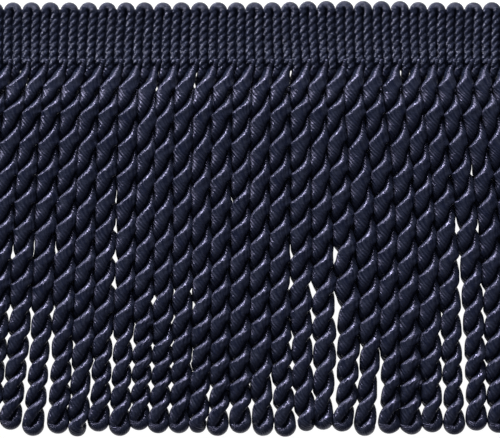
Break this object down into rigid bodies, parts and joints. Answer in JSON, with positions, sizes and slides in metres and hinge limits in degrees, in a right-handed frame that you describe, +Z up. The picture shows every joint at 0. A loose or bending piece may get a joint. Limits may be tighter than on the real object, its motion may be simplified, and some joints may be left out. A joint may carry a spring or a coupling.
{
  "type": "bullion fringe",
  "caption": "Cut length of bullion fringe lying face up: a narrow ribbed heading with a scalloped edge, and thick twisted cords that each end in a loop.",
  "frame": {"origin": "under the middle of the piece, on the surface that it lies on", "axes": "+X along the heading, +Y towards the scalloped edge, +Z up from the surface"},
  "size_m": [0.1368, 0.0996, 0.0052],
  "materials": {
    "heading_yarn": "dark navy rayon yarn in ribbed arches, soft sheen",
    "cord_yarn": "dark navy rayon, thick twisted plies with fine filaments and a silky sheen"
  },
  "bodies": {
    "root": {"heading": "heading_yarn", "bullion_skirt": "cord_yarn"}
  },
  "joints": []
}
